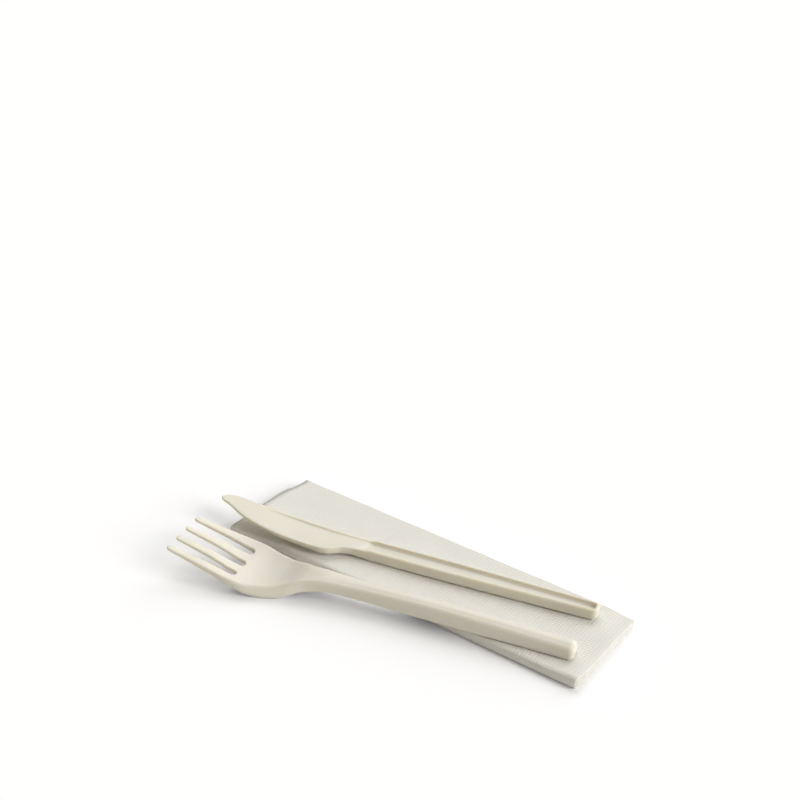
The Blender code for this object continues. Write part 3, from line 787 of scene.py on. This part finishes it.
def folded_sheet_tree():
    """Sweeps the leaf's path along the fold's path and gives the leaves soft waves."""
    tree = bpy.data.node_groups.new("folded_sheet", "GeometryNodeTree")
    socket(tree, "Geometry", "NodeSocketGeometry")
    socket(tree, "Fold Path", "NodeSocketObject")
    socket(tree, "Leaf Path", "NodeSocketObject")
    socket(tree, "Ruffle", "NodeSocketFloat", 0.35 * MM)
    socket(tree, "Ruffle Size", "NodeSocketFloat", 16 * MM)
    socket(tree, "Stack Height", "NodeSocketFloat", 4.6 * MM)
    socket(tree, "Seed", "NodeSocketInt", 7)
    socket(tree, "Material", "NodeSocketMaterial")
    socket(tree, "Geometry", "NodeSocketGeometry", output=True)
    nodes, links = tree.nodes, tree.links
    given = nodes.new("NodeGroupInput")
    result = nodes.new("NodeGroupOutput")

    def node(kind, **inputs):
        made = nodes.new(kind)
        for name, value in inputs.items():
            name = name.replace("_", " ")
            if isinstance(value, bpy.types.NodeSocket):
                links.new(value, made.inputs[name])
            else:
                made.inputs[name].default_value = value
        return made

    def maths(operation, *values):
        made = nodes.new("ShaderNodeMath")
        made.operation = operation
        for number, value in enumerate(values):
            if isinstance(value, bpy.types.NodeSocket):
                links.new(value, made.inputs[number])
            else:
                made.inputs[number].default_value = value
        return made.outputs["Value"]

    swept = []
    for path_name, mark in (("Fold Path", "fold_along"), ("Leaf Path", "leaf_along")):
        info = node("GeometryNodeObjectInfo", Object=given.outputs[path_name])
        along = nodes.new("GeometryNodeSplineParameter")
        store = node("GeometryNodeStoreNamedAttribute", Geometry=info.outputs["Geometry"], Name=mark)
        links.new(along.outputs["Length"], store.inputs["Value"])
        swept.append(store.outputs["Geometry"])
    body = node("GeometryNodeCurveToMesh", Curve=swept[0], Profile_Curve=swept[1])
    where = nodes.new("GeometryNodeInputPosition")
    apart = node("ShaderNodeSeparateXYZ", Vector=where.outputs["Position"])
    share = maths("DIVIDE", apart.outputs["Z"], given.outputs["Stack Height"])
    flat = node("ShaderNodeCombineXYZ", X=apart.outputs["X"], Y=apart.outputs["Y"],
                Z=maths("MULTIPLY", given.outputs["Seed"], 1.0))
    wave = node("ShaderNodeTexNoise", Vector=flat.outputs["Vector"], Detail=2.0,
                Scale=maths("DIVIDE", 1.0, given.outputs["Ruffle Size"]))
    lift = maths("MULTIPLY", maths("SUBTRACT", wave.outputs["Fac"], 0.5), given.outputs["Ruffle"])
    lift = maths("MULTIPLY", maths("MULTIPLY", lift, 2.0), share)
    offset = node("ShaderNodeCombineXYZ", Z=lift)
    moved = node("GeometryNodeSetPosition", Geometry=body.outputs["Mesh"], Offset=offset.outputs["Vector"])
    marks = []
    for mark in ("leaf_along", "fold_along"):
        made = node("GeometryNodeInputNamedAttribute", Name=mark)
        marks.append(made.outputs["Attribute"])
    pair = node("ShaderNodeCombineXYZ", X=marks[0], Y=marks[1])
    store = nodes.new("GeometryNodeStoreNamedAttribute")
    store.data_type = "FLOAT2"
    store.domain = "CORNER"
    store.inputs["Name"].default_value = "UVMap"
    links.new(moved.outputs["Geometry"], store.inputs["Geometry"])
    links.new(pair.outputs["Vector"], store.inputs["Value"])
    smoothed = node("GeometryNodeSetShadeSmooth", Geometry=store.outputs["Geometry"])
    real = node("GeometryNodeRealizeInstances", Geometry=smoothed.outputs["Geometry"])
    painted = node("GeometryNodeSetMaterial", Geometry=real.outputs["Geometry"],
                   Material=given.outputs["Material"])
    links.new(painted.outputs["Geometry"], result.inputs["Geometry"])
    return tree


def napkin_mesh(tissue, finish):
    fold = guide_curve("fold_path", [(0, y, z) for y, z in fold_path()])
    leaf = guide_curve("leaf_path", [(-x, offset, 0) for x, offset in leaf_path()])
    carrier = bpy.data.objects.new("sheet_carrier", bpy.data.meshes.new("sheet_carrier"))
    bpy.context.scene.collection.objects.link(carrier)
    tree = folded_sheet_tree()
    sweep = carrier.modifiers.new("folded_sheet", "NODES")
    sweep.node_group = tree
    values = {
        "Fold Path": fold, "Leaf Path": leaf, "Ruffle": tissue.ruffle, "Ruffle Size": tissue.ruffle_size,
        "Stack Height": NAPKIN_HIGH.z, "Seed": tissue.seed, "Material": finish,
    }
    for item in tree.interface.items_tree:
        if item.in_out == "INPUT" and item.name in values:
            sweep[item.identifier] = values[item.name]
    bpy.context.view_layer.update()
    evaluated = carrier.evaluated_get(bpy.context.evaluated_depsgraph_get())
    mesh = bpy.data.meshes.new_from_object(evaluated)
    for helper in (carrier, fold, leaf):
        bpy.data.objects.remove(helper)
    return mesh


def settle_leaves(mesh, stray, seed):
    """Lets the stack lie as it does: loose leaves at the left end, soft corners, an uneven height."""
    co = np.empty(len(mesh.vertices) * 3)
    mesh.vertices.foreach_get("co", co)
    x, y, z = co.reshape(-1, 3).T
    height = NAPKIN_HIGH.z
    share = np.clip(z / height, 0, 1)
    left = np.clip((NAPKIN_HIGH.x - x) / (NAPKIN_HIGH.x - NAPKIN_LOW.x), 0, 1)
    level = np.clip((share * LEVEL_COUNT).astype(int), 0, LEVEL_COUNT - 1)
    random = np.random.default_rng(seed)
    strays = random.uniform(-stray, stray, LEVEL_COUNT)
    far = ease((y - 2 * MM) / (22 * MM))
    lower = 1 - ease((share - 0.45) / 0.3)
    slide = -2.2 * MM * lower * ease((y + 26 * MM) / (26 * MM)) + 2.2 * MM * far * (1 - lower)
    slide += 4.5 * MM * lower * ease((y - 13 * MM) / (10 * MM))
    slide += strays[level] * ease((y + 20 * MM) / (16 * MM))
    x = x + slide * left ** 3
    right = ease((x - 66 * MM) / (15 * MM))
    corner = ease((-15 * MM - y) / (9 * MM))
    x = x - 0.9 * MM * right * corner ** 2
    right = ease((x - 70 * MM) / (11 * MM))
    swell = 1 + 0.12 * right * ease(-y / (20 * MM)) - 0.22 * right * ease((y - 6 * MM) / (16 * MM))
    pressed = ease((-56 * MM - x) / (25 * MM)) * ease((-6 * MM - y) / (16 * MM))
    x = x - 1.2 * MM * pressed
    y = y - 0.4 * MM * pressed
    z = z * swell * (1 - 0.35 * pressed)
    mesh.vertices.foreach_set("co", np.column_stack((x, y, z)).ravel())
    mesh.update()


def thicken(mesh, thickness):
    """Gives the sheet its thickness, so that it is closed all round."""
    carrier = bpy.data.objects.new("sheet_wall", mesh)
    bpy.context.scene.collection.objects.link(carrier)
    wall = carrier.modifiers.new("wall", "SOLIDIFY")
    wall.thickness = thickness
    wall.offset = 0
    bpy.context.view_layer.update()
    thick = bpy.data.meshes.new_from_object(
        carrier.evaluated_get(bpy.context.evaluated_depsgraph_get()))
    bpy.data.objects.remove(carrier)
    return thick


# Operators

class CutleryMakeNapkin(bpy.types.Operator):
    """Build the folded napkin from its sheet"""

    bl_idname = "cutlery.make_napkin"
    bl_label = "Make napkin"
    bl_options = {"REGISTER"}

    def execute(self, context):
        tissue = context.scene.cutlery_tissue
        colours = context.scene.cutlery_colours
        finish = tissue_material(colours.tissue, tissue.emboss_pitch)
        mesh = napkin_mesh(tissue, finish)
        settle_leaves(mesh, tissue.edge_stray, tissue.seed)
        mesh = thicken(mesh, tissue.leaf_thickness)
        piece = show("napkin_tissue", mesh, finish, "napkin")
        return {"FINISHED"}


class CutleryMakeFork(bpy.types.Operator):
    """Build the moulded fork"""

    bl_idname = "cutlery.make_fork"
    bl_label = "Make fork"
    bl_options = {"REGISTER"}

    def execute(self, context):
        finish = plastic_material("fork_cream", context.scene.cutlery_colours.fork_plastic, 55)
        show("fork_moulded", fork_mesh(context.scene.cutlery_shape), finish, "fork")
        return {"FINISHED"}


class CutleryMakeKnife(bpy.types.Operator):
    """Build the moulded knife"""

    bl_idname = "cutlery.make_knife"
    bl_label = "Make knife"
    bl_options = {"REGISTER"}

    def execute(self, context):
        finish = plastic_material("knife_cream", context.scene.cutlery_colours.knife_plastic, 70)
        show("knife_moulded", knife_mesh(context.scene.cutlery_shape), finish, "knife")
        return {"FINISHED"}


def add_far_light(name, strength, around, above, spread, colour):
    """A wide soft light from far off, at an angle round from +X and above the floor, in degrees."""
    lamp = bpy.data.lights.new(name, "SUN")
    lamp.energy = strength
    lamp.angle = math.radians(spread)
    lamp.color = colour
    around, above = math.radians(around), math.radians(above)
    way = Vector((math.cos(around) * math.cos(above), math.sin(around) * math.cos(above), math.sin(above)))
    holder = bpy.data.objects.new(name, lamp)
    holder.rotation_euler = way.to_track_quat("Z", "Y").to_euler()
    bpy.context.scene.collection.objects.link(holder)


def seen_ray(nodes, links):
    """1 where the camera looks, directly or through gloss and glass, and 0 for light on the pieces."""
    path = nodes.new("ShaderNodeLightPath")
    seen = path.outputs["Is Camera Ray"]
    for name in ("Is Glossy Ray", "Is Transmission Ray"):
        most = nodes.new("ShaderNodeMath")
        most.operation = "MAXIMUM"
        links.new(seen, most.inputs[0])
        links.new(path.outputs[name], most.inputs[1])
        seen = most.outputs["Value"]
    return seen


class CutlerySetStage(bpy.types.Operator):
    """Set up the floor, the soft light and the camera"""

    bl_idname = "cutlery.set_stage"
    bl_label = "Set stage"
    bl_options = {"REGISTER"}

    def execute(self, context):
        scene = context.scene
        colours = scene.cutlery_colours
        self.add_floor(scene)
        add_far_light("right_light", colours.right_light, 8, 26, 40, (1.0, 1.0, 1.0))
        add_far_light("back_light", colours.back_light, 88, 26, 40, (0.97, 0.98, 1.0))
        add_far_light("high_light", colours.high_light, 135, 55, 40, (0.94, 0.96, 1.0))
        world = bpy.data.worlds.new("studio")
        world.use_nodes = True
        nodes, links = world.node_tree.nodes, world.node_tree.links
        around = nodes["Background"]
        around.inputs["Color"].default_value = (1.0, 0.94, 0.7, 1)
        around.inputs["Strength"].default_value = colours.sky_strength
        seen = nodes.new("ShaderNodeBackground")
        seen.inputs["Color"].default_value = (1, 1, 1, 1)
        seen.inputs["Strength"].default_value = 1.0
        mix = nodes.new("ShaderNodeMixShader")
        links.new(seen_ray(nodes, links), mix.inputs["Fac"])
        links.new(around.outputs["Background"], mix.inputs[1])
        links.new(seen.outputs["Background"], mix.inputs[2])
        links.new(mix.outputs["Shader"], nodes["World Output"].inputs["Surface"])
        scene.world = world
        scene.view_settings.view_transform = "Standard"
        self.add_camera(scene)
        return {"FINISHED"}

    def add_floor(self, scene):
        mesh = bpy.data.meshes.new("floor")
        bm = bmesh.new()
        bmesh.ops.create_grid(bm, x_segments=1, y_segments=1, size=3)
        bm.to_mesh(mesh)
        bm.free()
        finish = bpy.data.materials.new("white_table")
        finish.use_nodes = True
        nodes, links = finish.node_tree.nodes, finish.node_tree.links
        shader = nodes["Principled BSDF"]
        shader.inputs["Roughness"].default_value = 0.9
        shader.inputs["Specular IOR Level"].default_value = 0.0
        shader.inputs["Emission Color"].default_value = (0.3, 0.35, 1.0, 1)
        seen = seen_ray(nodes, links)
        colour = nodes.new("ShaderNodeMix")
        colour.data_type = "RGBA"
        colour.inputs["A"].default_value = (0.9, 0.9, 0.9, 1)
        colour.inputs["B"].default_value = (1, 1, 1, 1)
        links.new(seen, colour.inputs["Factor"])
        links.new(colour.outputs["Result"], shader.inputs["Base Color"])
        glow = nodes.new("ShaderNodeMath")
        glow.operation = "MULTIPLY"
        glow.inputs[1].default_value = 0.05
        links.new(seen, glow.inputs[0])
        links.new(glow.outputs["Value"], shader.inputs["Emission Strength"])
        mesh.materials.append(finish)
        floor = bpy.data.objects.new("floor", mesh)
        scene.collection.objects.link(floor)

    def add_camera(self, scene):
        """The photograph's viewing place, found from the outlines of the pieces."""
        right = Vector((0.82254, 0.56613, 0.05396))
        up = Vector((-0.30482, 0.35879, 0.88224))
        back = right.cross(up)
        lens = bpy.data.cameras.new("camera")
        lens.sensor_width = 36
        lens.lens = 58.5
        camera = bpy.data.objects.new("camera", lens)
        turn = Matrix((right, up, back)).transposed().to_4x4()
        camera.matrix_world = Matrix.Translation((0.22300, -0.37166, 0.31006)) @ turn
        lens.clip_start = 0.01
        scene.collection.objects.link(camera)
        scene.camera = camera


class CutleryPanel(bpy.types.Panel):
    """Sizes, colours and steps of the cutlery pack"""

    bl_idname = "VIEW3D_PT_cutlery_pack"
    bl_label = "Cutlery pack"
    bl_space_type = "VIEW_3D"
    bl_region_type = "UI"
    bl_category = "Cutlery"

    def draw(self, context):
        for group in (context.scene.cutlery_shape, context.scene.cutlery_tissue,
                      context.scene.cutlery_colours):
            box = self.layout.box()
            for name in group.__annotations__:
                box.prop(group, name)
        for step in STEPS:
            self.layout.operator(step.bl_idname)


STEPS = (CutleryMakeNapkin, CutleryMakeFork, CutleryMakeKnife, CutlerySetStage)
GROUPS = (
    ("cutlery_shape", CutleryShape), ("cutlery_tissue", CutleryTissue), ("cutlery_colours", CutleryColours),
)


def register():
    for name, group in GROUPS:
        bpy.utils.register_class(group)
        setattr(bpy.types.Scene, name, bpy.props.PointerProperty(type=group))
    for item in (*STEPS, CutleryPanel):
        bpy.utils.register_class(item)


def unregister():
    for item in (CutleryPanel, *reversed(STEPS)):
        bpy.utils.unregister_class(item)
    for name, group in reversed(GROUPS):
        delattr(bpy.types.Scene, name)
        bpy.utils.unregister_class(group)


def main():
    register()
    bpy.ops.cutlery.make_napkin()
    bpy.ops.cutlery.make_fork()
    bpy.ops.cutlery.make_knife()
    bpy.ops.cutlery.set_stage()


if __name__ == "__main__":
    main()
